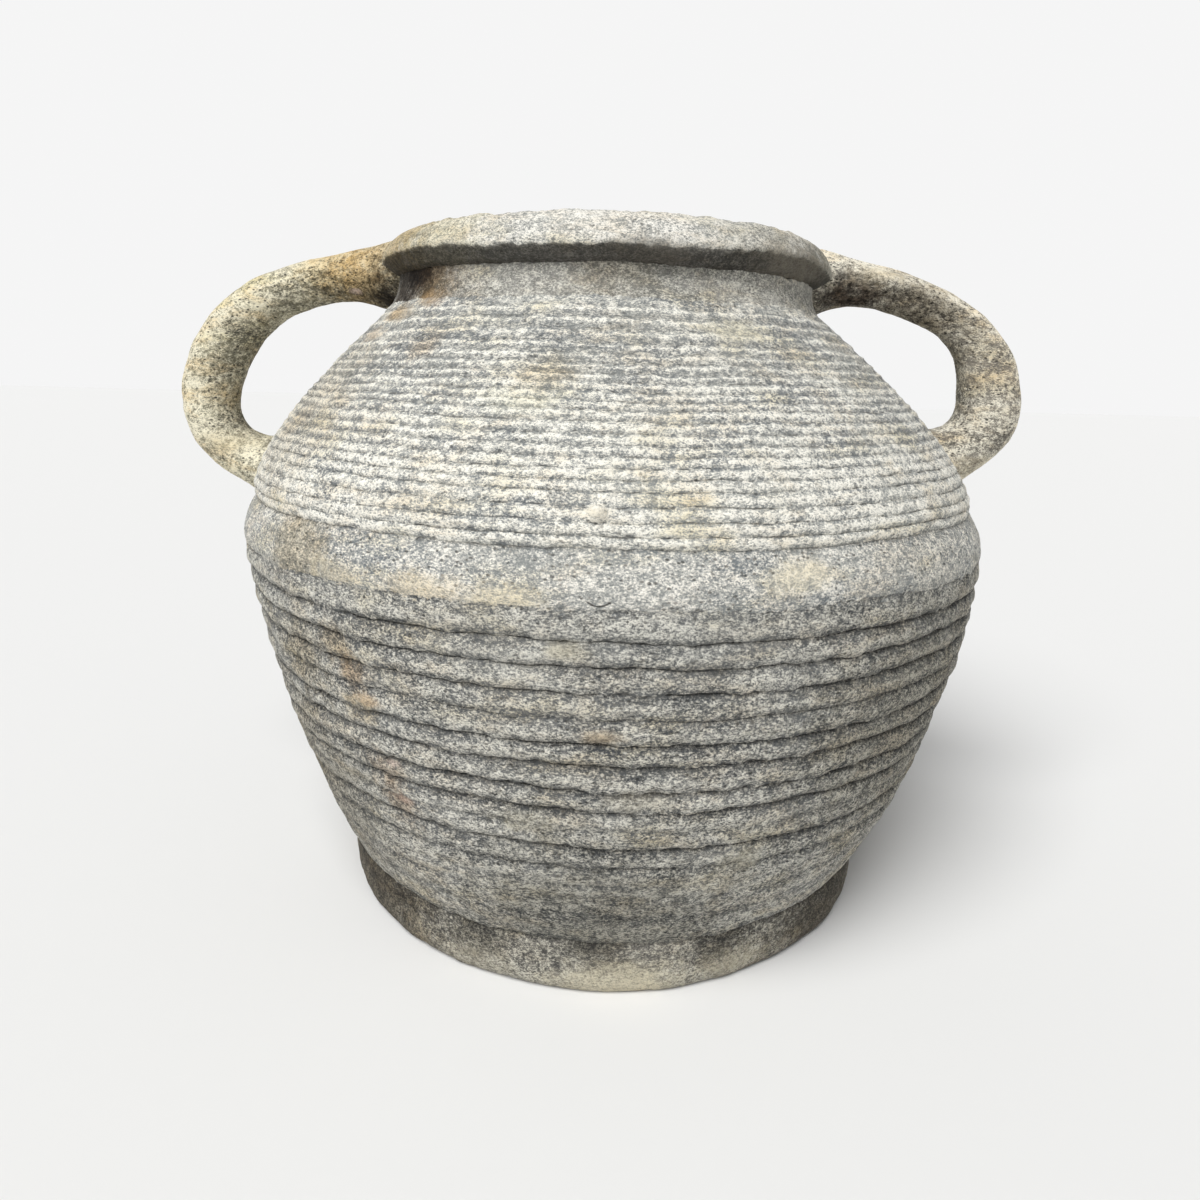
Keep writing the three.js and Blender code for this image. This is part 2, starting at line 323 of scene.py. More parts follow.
# %% Weather the surface
def near_spot(points, place, reach):
    """1 at a place, fading to 0 at a reach from it. The place and the reach are in millimetres."""
    return 1 - ramp(np.linalg.norm(points / MM - place, axis=1), 0.15 * reach, reach)


def read_layer(mesh, name):
    values = np.empty(len(mesh.vertices), np.float32)
    mesh.attributes[name].data.foreach_get("value", values)
    return values.astype(float)


def read_normals(mesh):
    mesh.update()
    flat = np.empty(len(mesh.vertices) * 3, np.float32)
    mesh.vertex_normals.foreach_get("vector", flat)
    return flat.reshape(-1, 3).astype(float)


def weather(
    mesh, bend=hand_bent, crust_mm=0.3, pit_mm=0.35, uneven_mm=0.35, worn_below=0, fill=1, bumps=(),
):
    """Bends a mesh like the real pot and gives its surface unevenness, crust, pits and filled grooves.
    A bump is (place, reach, rise, roughness), in millimetres. With fill 0 no groove is filled or broken."""
    flat = np.empty(len(mesh.vertices) * 3, np.float32)
    mesh.vertices.foreach_get("co", flat)
    points = flat.reshape(-1, 3).astype(float)
    sunk, crest, line, inner = (read_layer(mesh, name) for name in ("sunk", "crest", "line", "inner"))
    points = bend(points)
    mesh.vertices.foreach_set("co", points.ravel())
    normals = read_normals(mesh)
    drawn = points * (1, 1, 2.2)
    worn = 0.75 * (1 - ramp(points[:, 2] / MM, worn_below - 15, worn_below + 15)) if worn_below else 0
    silt = ramp(grain(drawn, 13, 5.5) + 0.7 * grain(points, 4, 3.1), -0.1, 0.9) * 0.85
    filled = fill * np.clip(silt + worn, 0, 0.92)
    lump = np.zeros(len(points))
    rough = np.ones(len(points))
    for place, reach, rise, roughness in bumps:
        near = near_spot(points, place, reach)
        filled = np.maximum(filled, near)
        lump += near_spot(points, place, reach * 0.5) * rise
        rough += near * roughness
    lumps = grain(points * (1, 1, 1.3), 2.6) * 0.35 + grain(points, 1.5, 9.2) * 0.3
    patches = grain(drawn, 17, 2.2) * 0.25 + grain(points * (1, 1, 1.4), 6, 4.4) * 0.15
    edge = ramp(crest, 0.85, 1) * 0.25
    crust = np.clip(0.5 + 0.45 * (crest - 0.6) + edge + lumps + patches + lump, 0, 1) * (1 - 0.6 * inner)
    pits = ramp(grain(points * (1, 1, 1.5), 3, 31), 0.3, 0.75) * rough
    swell = grain(points, 9, 17) + grain(points, 28, 23)
    push = crust * crust_mm - pits * pit_mm * (1 - 0.7 * inner) + swell * uneven_mm + filled * sunk + lump
    points += normals * (push * MM)[:, None]
    points[:, 2] = np.maximum(points[:, 2], 0)
    mesh.vertices.foreach_set("co", points.ravel())
    broken = np.clip(0.6 + 0.9 * grain(points * (1, 1, 1.5), 2.6, 13), 0, 1) if fill else 1
    for name, values in (("crust", crust), ("line", line * (1 - filled) * broken), ("crest", crest)):
        layer = mesh.attributes.get(name) or mesh.attributes.new(name, "FLOAT", "POINT")
        layer.data.foreach_set("value", values.astype(np.float32))
    mesh.update()


def make_piece(bm, name, slot, material, nodes, **how):
    """Turns a shaped bmesh into a weathered piece that rides on the pot and stands for its CAD solids."""
    for edge in bm.edges:
        edge.smooth = edge.calc_face_angle(0) < 1.2
    for face in bm.faces:
        face.smooth = True
    mesh = bpy.data.meshes.new(name)
    bm.to_mesh(mesh)
    bm.free()
    weather(mesh, **how)
    mesh.materials.append(material)
    piece = bpy.data.objects.new(name, mesh)
    bpy.context.scene.collection.objects.link(piece)
    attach(piece, "root")
    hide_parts(*nodes)
    corners = sum(p.loop_total for p in mesh.polygons)
    gaps = 2 * len(mesh.edges) - corners
    print(f"{name}: {corners - 2 * len(mesh.polygons)} triangles, {gaps} open edges")
    return piece


# %% [markdown]
# ## Unglazed grey earthenware
# Earthenware fired in a smoky kiln comes out a cool grey with no shine at all, and sand grains show in it.
# It looks different from place to place: pale where lime covers it, nearly black in the grooves and under
# the lip, where soil and painted shade darken it, and tan where hands, smoke and soil have stained it. Some
# greys on the lower wall, foot, rim, neck and handles are painted shade too. One function mixes the clay from
# these layers.

# %% Colours and nodes
def rgb(code):
    """A linear colour from an sRGB hex code."""
    parts = [int(code[i : i + 2], 16) / 255 for i in (1, 3, 5)]
    return tuple(p / 12.92 if p <= 0.04045 else ((p + 0.055) / 1.055) ** 2.4 for p in parts) + (1.0,)


def add(tree, kind, inputs=(), **settings):
    """Adds a shader node, sets its properties and fills its inputs with values or other nodes' outputs."""
    node = tree.nodes.new("ShaderNode" + kind)
    for name, value in settings.items():
        setattr(node, name, value)
    for socket, value in dict(inputs).items():
        if isinstance(value, bpy.types.NodeSocket):
            tree.links.new(value, node.inputs[socket])
        else:
            node.inputs[socket].default_value = value
    return node


# A Mix node's sockets for colour go by number: three inputs and the output
FACTOR, COLOUR_A, COLOUR_B, MIXED = 0, 6, 7, 2
SOFT = {"interpolation_type": "SMOOTHSTEP"}


def fired_clay(
    name, dark, light, lime, warm_lime="#e8dcb8", line="#4c4a44", cover=0.5, sand=0.6, earth=0.3, soil_and_shade=0.5,
    crusty=0.2, stains_and_shade=(), smears_and_light=(), nicks=(),
):
    """Grey earthenware: mottled clay, pale lime on what stands proud, sand grains, grooves and hollows
    darkened with soil and painted shade, and stains, some of them painted shade. From 0 to 1, cover is how
    much is limed, sand how much the grains stand out, earth how warm the cast is, soil_and_shade how dark the
    grooves are with soil and painted shade, and crusty how closely the lime follows the crust in the mesh."""
    material = bpy.data.materials.new(name)
    material.use_nodes = True
    tree = material.node_tree
    shader = tree.nodes["Principled BSDF"]
    place_of = add(tree, "TexCoord").outputs["Object"]
    drawn = add(tree, "VectorMath", {0: place_of, 1: (1, 1, 2.4)}, operation="MULTIPLY").outputs["Vector"]
    dragged = add(tree, "VectorMath", {0: place_of, 1: (1, 1, 1.6)}, operation="MULTIPLY").outputs["Vector"]
    crest, crust, cut = (
        add(tree, "Attribute", attribute_name=a).outputs["Fac"] for a in ("crest", "crust", "line")
    )

    # Smoke in the kiln left patches of lighter and darker grey, two to four centimetres wide
    clouds = {"Vector": drawn, "Scale": 36, "Detail": 3, "Roughness": 0.6}
    clouds = add(tree, "TexNoise", clouds).outputs["Fac"]
    mottle = add(tree, "MapRange", {"Value": clouds, "From Min": 0.35, "From Max": 0.65}, **SOFT).outputs[0]
    clay = add(tree, "Mix", {FACTOR: mottle, COLOUR_A: rgb(dark), COLOUR_B: rgb(light)}, data_type="RGBA")

    # Flecks of lime from a quarter of a millimetre to four, denser where the crust in the mesh is thick,
    # and drawn out along the wheel's turn. Squaring their amount keeps most of the clay bare, with few
    # bright grains on it
    rough = {"Vector": dragged, "Scale": 420, "Detail": 4, "Roughness": 0.9}
    rough = add(tree, "TexNoise", rough).outputs["Fac"]
    fine = {"Vector": dragged, "Scale": 1300, "Detail": 2, "Roughness": 0.8}
    fine = add(tree, "TexNoise", fine).outputs["Fac"]
    flecks = add(tree, "Math", {0: rough, 1: 0.9, 2: fine}, operation="MULTIPLY_ADD").outputs[0]
    thick = add(tree, "Math", {0: crust, 1: crusty, 2: flecks}, operation="MULTIPLY_ADD").outputs[0]
    level = 1.15 + crusty / 2 - 0.4 * cover
    amount = {"Value": thick, "From Min": level - 0.2, "From Max": level + 0.17}
    amount = add(tree, "MapRange", amount).outputs[0]
    limed = add(tree, "Math", {0: amount, 1: 2.2}, operation="POWER").outputs[0]
    grainy = add(tree, "MapRange", {"Value": amount, "To Min": 0.35}).outputs[0]
    drift = add(tree, "TexNoise", {"Vector": drawn, "Scale": 42, "Detail": 4}).outputs["Fac"]
    warmth = {"Value": drift, "From Min": 0.5, "From Max": 0.75, "To Max": 0.65}
    warmth = add(tree, "MapRange", warmth, **SOFT).outputs[0]
    mix = {FACTOR: warmth, COLOUR_A: rgb(lime), COLOUR_B: rgb(warm_lime)}
    white = add(tree, "Mix", mix, data_type="RGBA")
    mix = {FACTOR: limed, COLOUR_A: clay.outputs[MIXED], COLOUR_B: white.outputs[MIXED]}
    colour = add(tree, "Mix", mix, data_type="RGBA").outputs[MIXED]

    # Sand grains about half a millimetre wide: some are pale and stand out, others fell out and left pits,
    # which are painted dark as painted shade
    cells = add(tree, "TexVoronoi", {"Vector": dragged, "Scale": 700})
    disc = {"Value": cells.outputs["Distance"], "From Min": 0.5, "From Max": 0.25, "To Max": sand}
    disc = add(tree, "MapRange", disc, **SOFT).outputs[0]
    kinds = add(tree, "SeparateColor", {"Color": cells.outputs["Color"]}).outputs
    grains = []
    for kind, tint in ((kinds["Red"], lime), (kinds["Green"], "#32312e")):
        chosen = add(tree, "MapRange", {"Value": kind, "From Min": 0.6, "From Max": 0.9}).outputs[0]
        grains.append(add(tree, "Math", {0: disc, 1: chosen}, operation="MULTIPLY").outputs[0])
        mix = {FACTOR: grains[-1], COLOUR_A: colour, COLOUR_B: rgb(tint)}
        colour = add(tree, "Mix", mix, data_type="RGBA").outputs[MIXED]

    # Soil and painted shade darken the thin grooves, and painted shade darkens the hollows beside them a
    # little
    hollow_shade = {"Value": crest, "From Min": 0.7, "From Max": 0.0, "To Max": 0.4}
    hollow_shade = add(tree, "MapRange", hollow_shade, **SOFT).outputs[0]
    deep = {"Value": cut, "From Min": 0.15, "From Max": 0.9, "To Max": soil_and_shade}
    deep = add(tree, "MapRange", deep, **SOFT).outputs[0]
    soiled_and_shaded = add(tree, "Math", {0: hollow_shade, 1: deep}, operation="MAXIMUM").outputs[0]
    mix = {FACTOR: soiled_and_shaded, COLOUR_A: colour, COLOUR_B: rgb(line)}
    colour = add(tree, "Mix", mix, data_type="RGBA").outputs[MIXED]

    # Where soil lay against the pot it left a warm cast, in patches of one to three centimetres
    casts = {"Vector": drawn, "Scale": 50, "Detail": 5, "Roughness": 0.7, "Distortion": 0.4}
    casts = add(tree, "TexNoise", casts).outputs["Fac"]
    cast = {"Value": casts, "From Min": 0.45, "From Max": 0.7, "To Max": earth}
    cast = add(tree, "MapRange", cast, **SOFT).outputs[0]
    cast = add(tree, "Math", {0: cast, 1: grainy}, operation="MULTIPLY").outputs[0]
    mix = {FACTOR: cast, COLOUR_A: colour, COLOUR_B: rgb("#ecd2a8")}
    colour = add(tree, "Mix", mix, data_type="RGBA", blend_type="MULTIPLY").outputs[MIXED]

    # Stains darken the clay and smears lie on it: soft, ragged clouds round places that are given in
    # millimetres. Several grey stains are painted shade, and two pale smears on the lower wall are painted
    # light. A smear is drawn out along the ribs and clings to the flecks
    ragged = {"Vector": place_of, "Scale": 170, "Detail": 6, "Roughness": 0.8}
    ragged = add(tree, "TexNoise", ragged).outputs["Fac"]
    kinds = ((stains_and_shade, place_of, 1, 1, "MULTIPLY"), (smears_and_light, drawn, 2.4, grainy, "MIX"))
    for marks, space, stretch, cling, blend in kinds:
        for (x, y, z), reach, tint, strength in marks:
            spot = Vector((x, y, z * stretch)) * MM
            far = add(tree, "VectorMath", {0: space, 1: spot}, operation="DISTANCE").outputs["Value"]
            edge = {0: ragged, 1: reach * MM * 1.8, 2: far}
            edge = add(tree, "Math", edge, operation="MULTIPLY_ADD").outputs[0]
            cloud = {"Value": edge, "From Min": reach * MM * 1.95, "From Max": reach * MM * 1.1}
            cloud = add(tree, "MapRange", {**cloud, "To Max": strength}, **SOFT).outputs[0]
            cloud = add(tree, "Math", {0: cloud, 1: cling}, operation="MULTIPLY").outputs[0]
            mix = {FACTOR: cloud, COLOUR_A: colour, COLOUR_B: rgb(tint)}
            colour = add(tree, "Mix", mix, data_type="RGBA", blend_type=blend).outputs[MIXED]

    # A fingernail left a thin arc in the wet clay, open at its top
    for (x, y, z), radius in nicks:
        middle = Vector((x, y, z + radius)) * MM
        away = add(tree, "VectorMath", {0: place_of, 1: middle}, operation="SUBTRACT").outputs["Vector"]
        far = add(tree, "VectorMath", {0: away}, operation="LENGTH").outputs["Value"]
        off = add(tree, "Math", {0: far, 1: radius * MM, 2: 0.00025}, operation="COMPARE").outputs[0]
        off = add(tree, "Math", {0: off, 1: grainy}, operation="MULTIPLY").outputs[0]
        down = add(tree, "SeparateXYZ", {0: away}).outputs["Z"]
        arc = {"Value": down, "From Min": -0.6 * radius * MM, "From Max": -0.8 * radius * MM}
        arc = add(tree, "MapRange", arc).outputs[0]
        arc = add(tree, "Math", {0: arc, 1: off}, operation="MULTIPLY").outputs[0]
        mix = {FACTOR: arc, COLOUR_A: colour, COLOUR_B: rgb("#1c1a17")}
        colour = add(tree, "Mix", mix, data_type="RGBA").outputs[MIXED]
    tree.links.new(colour, shader.inputs["Base Color"])

    # What the mesh is too coarse for: flecks and sand grains stand a fifth of a millimetre proud
    proud = add(tree, "Math", {0: grains[0], 1: grains[1]}, operation="SUBTRACT").outputs[0]
    relief = add(tree, "Math", {0: proud, 1: 0.3, 2: thick}, operation="MULTIPLY_ADD").outputs[0]
    bump = add(tree, "Bump", {"Height": relief, "Strength": 0.9, "Distance": 0.0007})
    tree.links.new(bump.outputs["Normal"], shader.inputs["Normal"])
    shader.inputs["Roughness"].default_value = 0.93
    shader.inputs["IOR"].default_value = 1.45
    shader.inputs["Specular IOR Level"].default_value = 0.3
    return material


# %% Mix the clays
# The lower wall's clay greys are darker than the shoulder's, partly as painted shade on a wall that faces
# down
lower_clay = fired_clay(
    "sandy grey earthenware", "#484b4d", "#666868", "#e2dfd4", "#d6caaa", line="#302e2b",
    cover=0.47, sand=0.7, soil_and_shade=0.35,
    stains_and_shade=(
        ((-76, -107, 105), 9, "#dcc8a8", 0.6), ((-71, -110, 97), 8, "#d4b898", 0.7),
        ((-70, -108, 84), 9, "#d8c4a8", 0.6), ((-62, -104, 66), 10, "#d0bcaa", 0.7),
        ((-57, -100, 57), 9, "#d0bcaa", 0.7), ((-88, -90, 98), 18, "#d8ccb4", 0.6),
        # Painted shade: three wide grey stains darken the lower wall towards its right, its left and its
        # bottom
        ((95, -90, 80), 70, "#c4c2bc", 0.9), ((0, -100, 15), 62, "#b0afaa", 0.8),
        ((-85, -60, 50), 60, "#c4c0b8", 0.8),
    ),
    smears_and_light=(
        ((-10, -133, 113), 8, "#cabfa0", 0.6), ((-1, -128, 89), 8, "#c0ab8c", 0.6),
        ((39, -105, 48), 12, "#b8b29c", 0.5), ((-60, -106, 71), 4, "#ecd6c8", 0.9),
        ((-54, -100, 60), 6, "#d4b4a0", 0.7), ((-20, -112, 62), 12, "#b8b098", 0.5),
        ((-66, -110, 90), 7, "#d8bc98", 0.6), ((10, -120, 70), 12, "#c4bca8", 0.4),
        # Painted light: two wide pale smears lighten the top of the lower wall under the band's overhang
        ((-20, -134, 117), 40, "#c4c4be", 0.25), ((30, -132, 117), 36, "#c4c4be", 0.25),
    ),
)
band_clay = fired_clay(
    "wiped grey earthenware", "#72787b", "#8a8d8b", "#f4f0e6", cover=0.5, sand=0.7, earth=0.25,
    stains_and_shade=(((-90, -102, 129), 22, "#d4c8b0", 0.7), ((95, -97, 130), 30, "#f0eeea", 0.6)),
    smears_and_light=(
        ((-48, -127, 125.5), 16, "#e8d8b8", 0.7), ((-25, -134, 125), 14, "#e8dcc0", 0.7),
        ((-75, -112, 126), 14, "#d8ccb0", 0.6), ((49, -126, 131), 14, "#ece2c8", 0.8),
    ),
    nicks=(((-2, -135.5, 124.6), 4.1),),
)
shoulder_clay = fired_clay(
    "combed grey earthenware", "#72777a", "#8c8f8d", "#f8f5ea", cover=0.57, sand=0.5, soil_and_shade=0.6, crusty=0.28,
    stains_and_shade=(
        ((-73.5, -50.5, 200), 8, "#dcc096", 0.7), ((-18, -104, 182), 11, "#f0e4cc", 0.5),
        ((-58, -84, 190), 9, "#f0dcc4", 0.6), ((-100, -70, 170), 40, "#ece6dc", 0.7),
    ),
    smears_and_light=(
        ((37, -84, 196), 14, "#e4dcc0", 0.5), ((-24, -108, 174), 16, "#ece8c0", 0.2),
        ((-3, -131, 147), 5, "#f4ecd8", 0.9), ((-60, -61, 205), 10, "#bc9c74", 0.65),
        ((-71, -58, 200.5), 10, "#c4ae8c", 0.65), ((-82, -55, 194), 11, "#d0b898", 0.5),
    ),
)
neck_clay = fired_clay(
    "smoked grey earthenware", "#767671", "#92918c", "#e6e3d8", cover=0.54, sand=0.5,
    stains_and_shade=(
        # The two darkest stains fill the hollow between lip, neck and the left handle's root: partly a brown
        # stain, partly painted shade
        ((-60, -57, 213), 20, "#ac9474", 0.8), ((-66, -50, 215), 17, "#584636", 0.9),
        ((-72, -38, 213), 24, "#43352a", 0.9), ((0, -80, 217), 18, "#c0b8a8", 0.5),
    ),
    smears_and_light=(((-60, -60, 206), 9, "#b8986c", 0.6),),
)
rim_clay = fired_clay(
    # The dark line colour paints the lip's underside nearly black: painted shade with a little brown stain
    "worn grey earthenware", "#787b7a", "#949692", "#f4f1e8", "#e6ddc0", line="#241e17",
    cover=0.58, sand=0.5, soil_and_shade=0.85,
    stains_and_shade=(
        ((-80, -40, 227), 34, "#d8c6a2", 0.85), ((-60, -63, 228), 34, "#eae4cc", 0.7),
        # Painted shade: these two grey stains darken the rim towards its right end
        ((80, -35, 226), 36, "#bcbab2", 0.9), ((50, -68, 226), 30, "#d8d6d0", 0.7),
    ),
    smears_and_light=(((66, -55, 219), 34, "#7c766a", 0.8), ((12, -85, 219), 18, "#5c564c", 0.6)),
)
# The foot's clay greys are dark, partly as painted shade on a ring that faces away from the light
foot_clay = fired_clay(
    "smooth grey earthenware", "#484745", "#5f5d59", "#ccc8ba", "#c9bc9c", cover=0.44, sand=0.4,
    stains_and_shade=(
        # Painted shade: two wide grey stains darken the foot at both sides, and three small ones its top
        # under the wall's edge
        ((-75, -55, 8), 56, "#8c867e", 0.95), ((75, -55, 8), 50, "#948f88", 0.95),
        ((0, -95, 16), 13, "#8f8d88", 0.7), ((-36, -88, 15), 14, "#8f8d88", 0.7),
        ((36, -88, 15), 14, "#8f8d88", 0.7),
    ),
    smears_and_light=(
        ((6, -93, 3), 26, "#d0c8b0", 0.85), ((-36, -86, 4), 16, "#b4ae9c", 0.5),
        ((40, -84, 6), 16, "#bab29c", 0.6),
    ),
)
floor_clay = fired_clay("plain grey earthenware", "#6f6d68", "#8a8882", "#c5c1b4", cover=0.4)
left_clay = fired_clay(
    "tan-stained grey earthenware", "#605e52", "#88846f", "#f4edd4", "#e6d9a2", line="#4c4a44",
    cover=0.63, sand=0.9, earth=0.65, crusty=0.36,
    stains_and_shade=(
        # The near-black stain fills the hollow at the handle's root under the lip: partly a brown stain,
        # partly painted shade
        ((-82, -14, 212), 20, "#241a10", 0.95), ((-95, -10, 219), 26, "#dcc298", 0.8),
        ((-112, -10, 222), 20, "#f0deb8", 0.6),
    ),
    smears_and_light=(((-101.5, -11.5, 212), 4, "#e8d0c4", 0.9), ((-150, -8, 152), 16, "#dccfae", 0.6)),
)
right_clay = fired_clay(
    "beige-stained grey earthenware", "#625f58", "#868178", "#f8f2e0", "#eadcba", line="#45413a",
    cover=0.66, sand=0.9, earth=0.45, crusty=0.4,
    # The dark stain at the root under the lip is partly a brown stain, partly painted shade; the grey one is
    # painted shade under the handle
    stains_and_shade=(((92, -13, 211), 20, "#5a4a40", 0.9), ((116, -13, 207), 26, "#9c9488", 0.8)),
    smears_and_light=(((138, -11, 150), 16, "#d2c6a8", 0.5), ((100, -10, 224), 14, "#e4d8bc", 0.5)),
)
print("clays:", [m.name for m in bpy.data.materials if "earthenware" in m.name])

# %% [markdown]
# ## Throwing the wall
# The wall is thrown in the order of the real work: lower wall, belly band, shoulder, neck, rim. The lower
# wall and the shoulder are each two rings that meet in a groove, which keeps every mesh to a size that is
# easy to handle.

# %% Throw the lower wall
for name, low, high in (("lower_wall_below", 17, 72.3), ("lower_wall_above", 72.3, 123)):
    bm = spin_rows(wall_ring(low, high))
    make_piece(bm, name, "lower_clay", lower_clay, ["lower_wall"], worn_below=38)

# %% Lay the belly band
bm = spin_rows(wall_ring(123, 138))
make_piece(bm, "plain_belly_band", "band_clay", band_clay, ["belly_band"], crust_mm=0.25, pit_mm=0.25)

# %% Throw and comb the shoulder
LEFT_HEEL = ((-130, 0, 147), 24, 0.3, 0)
RIGHT_HEEL = ((128, 0, 156), 24, 0.3, 0)
CRUMB = ((-3, -131, 147), 6.5, 2.4, 2)
for name, low, high in (("shoulder_below", 138, 169.3), ("shoulder_above", 169.3, 205)):
    bm = spin_rows(wall_ring(low, high))
    bumps = (LEFT_HEEL, RIGHT_HEEL, CRUMB)
    make_piece(bm, name, "shoulder_clay", shoulder_clay, ["shoulder_wall"], pit_mm=0.25, bumps=bumps)
print("a crumb of clay sticks to the shoulder,", round(wall_radius(SHOULDER, 147)), "mm from the axis")

# %% Throw the neck
bm = spin_rows(wall_ring(205, 216.5))
make_piece(bm, "short_neck", "neck_clay", neck_clay, ["neck_collar"], crust_mm=0.2)

# %% [markdown]
# ## Rolling the rim
# The rim is a roll of clay folded outwards over the neck. Its outer face slopes, its top is nearly flat for
# a lid, and its lower edge was left ragged: it droops in one place and is frayed all along, with a dark
# hollow beneath that is painted nearly black as painted shade.

# %% Roll the rim
# Rows of (radius, height, crest, underside shade): the last paints the lip's underside nearly black,
# as painted shade with a little brown stain
RIM = (
    (80.4, 216.5, 0.3, 1), (81.2, 216.9, 0.3, 1), (82.0, 217.3, 0.3, 0.9), (82.8, 217.8, 0.3, 0.8),
    (83.6, 218.3, 0.3, 0.8), (84.4, 218.9, 0.3, 0.8), (85.2, 219.5, 0.3, 0.8), (85.9, 220.1, 0.4, 0.75),
    (86.5, 220.6, 0.6, 0.6), (86.9, 221.1, 1, 0), (87.0, 221.8, 1, 0), (86.9, 222.7, 1, 0),
    (86.6, 223.6, 0.95, 0), (86.3, 224.5, 0.9, 0), (85.9, 225.4, 0.9, 0), (85.5, 226.4, 0.9, 0),
    (85.0, 227.4, 0.9, 0), (84.4, 228.3, 0.9, 0), (83.7, 229.2, 1, 0), (82.9, 230.0, 1, 0),
    (82.1, 230.7, 1, 0), (81.2, 231.3, 1, 0), (80.4, 231.8, 1, 0), (79.6, 232.2, 0.9, 0),
    (78.7, 232.6, 0.9, 0), (77.5, 232.5, 0.9, 0), (76.3, 232.3, 0.9, 0), (75.2, 231.9, 0.9, 0),
    (74.3, 231.3, 0.9, 0), (73.6, 230.4, 0.9, 0), (73.1, 229.3, 0.8, 0), (72.9, 228.0, 0.7, 0),
    (72.8, 226.0, 0.6, 0), (72.8, 223.5, 0.5, 0), (72.8, 221.0, 0.5, 0), (72.8, 218.6, 0.5, 0),
    (72.9, 216.5, 0.5, 0),
)


def frayed(points):
    """The rim's points on the hand-made pot. Its torn lower edge rises at two places, left and right of the
    front, and under it the clay hangs down at one."""
    bent = hand_bent(points)
    radius = np.hypot(points[:, 0], points[:, 1]) / MM
    height = points[:, 2] / MM
    turn = np.degrees(np.arctan2(points[:, 1], points[:, 0]))
    lip = ramp(radius, 82.5, 86) * (1 - ramp(height, 221.5, 227))
    rise = 1.7 * np.exp(-(((turn + 140) / 28) ** 2)) + 2.0 * np.exp(-(((turn + 50) / 20) ** 2))
    torn = grain(points * (1, 1, 0.3), 9, 7.7) * 0.6 + grain(points * (1, 1, 0.3), 2.6, 3.9) * 0.4
    under = ramp(radius, 80.5, 82.5) * (1 - ramp(height, 219, 221))
    droop = 2.0 * np.exp(-(((turn + 72) / 8) ** 2))
    bent[:, 2] += (lip * (rise - torn) - under * droop) * MM
    return bent


bm = spin_rows([(r, z, 0.0, full, lip_stain_and_shade, 0.0) for r, z, full, lip_stain_and_shade in RIM])
make_piece(
    bm, "rolled_rim", "rim_clay", rim_clay, ["rim_lip"], bend=frayed, fill=0,
    crust_mm=0.2, pit_mm=0.3, uneven_mm=0.22,
)

# %% [markdown]
# ## Turning the foot
# The foot is a thick ring with rounded edges. It flares a little towards the wall, and a shallow groove
# parts the two.

# %% Turn the foot
# Rows of (radius, height, crest)
FOOT = (
    (76.5, 0.0, 0.8), (79.5, 0.0, 0.8), (83.0, 0.0, 0.8), (86.5, 0.0, 0.8), (88.8, 0.0, 0.9),
    (90.2, 0.4, 0.95), (91.4, 1.1, 1), (92.2, 2.1, 1), (92.8, 3.3, 1), (93.2, 4.6, 1), (93.5, 6.0, 1),
    (93.6, 7.4, 0.95), (93.7, 8.8, 0.9), (93.8, 10.2, 0.9), (94.0, 11.6, 0.85), (94.3, 12.9, 0.8),
    (94.6, 14.1, 0.8), (94.8, 15.2, 0.7), (94.6, 16.2, 0.4),
)
groove = [(95.4, 17, 1.3, 0.1, 0.6, 0.0)]
HOLLOW = ((86.8, 17, 0.5), (86.8, 9, 0.5), (75.5, 9, 0.5), (75.6, 1, 0.6))
rows = [(r, z, 0.0, crest, 0.0, 0.0) for r, z, crest in FOOT] + groove
rows += [(r, z, 0, crest, 0, 1) for r, z, crest in HOLLOW]
make_piece(spin_rows(rows), "foot_ring", "foot_clay", foot_clay, ["foot_collar"], crust_mm=0.2, pit_mm=0.25)

# %% [markdown]
# ## Laying the floor
# The floor is a slab that was pressed flat on the wheel. The potter's finger left a low spiral in it, drawn
# here as rings.

# %% Lay the floor
rings = [(86.2 * (1 - i / 70), 17 + 0.45 * math.sin(i * 0.8)) for i in range(2, 69)]
slab = [(0.3, 9), (86.2, 9), (86.2, 17)] + rings + [(0.3, 17)]
rows = [(radius, height, 0, 0.5, 0, 1) for radius, height in slab]
bm = spin_rows(rows, slices=24, steps=16, closed=False)
bmesh.ops.holes_fill(bm, edges=[e for e in bm.edges if e.is_boundary], sides=0)
bmesh.ops.recalc_face_normals(bm, faces=bm.faces[:])
smooth = {"crust_mm": 0.2, "pit_mm": 0.2, "uneven_mm": 0.2}
make_piece(bm, "floor_disc", "floor_clay", floor_clay, ["floor_slab"], **smooth)

# %% [markdown]
# ## Pulling the handles
# A pulled handle is a rod of clay, drawn out wet between the fingers and bent while soft. Its two ends are
# pressed onto the pot and smeared out with slip. Here a ring of vertices is extruded along a curved path,
# step by step, and each new ring is set to its place, width and turn. The ends spread where the clay was
# smeared.

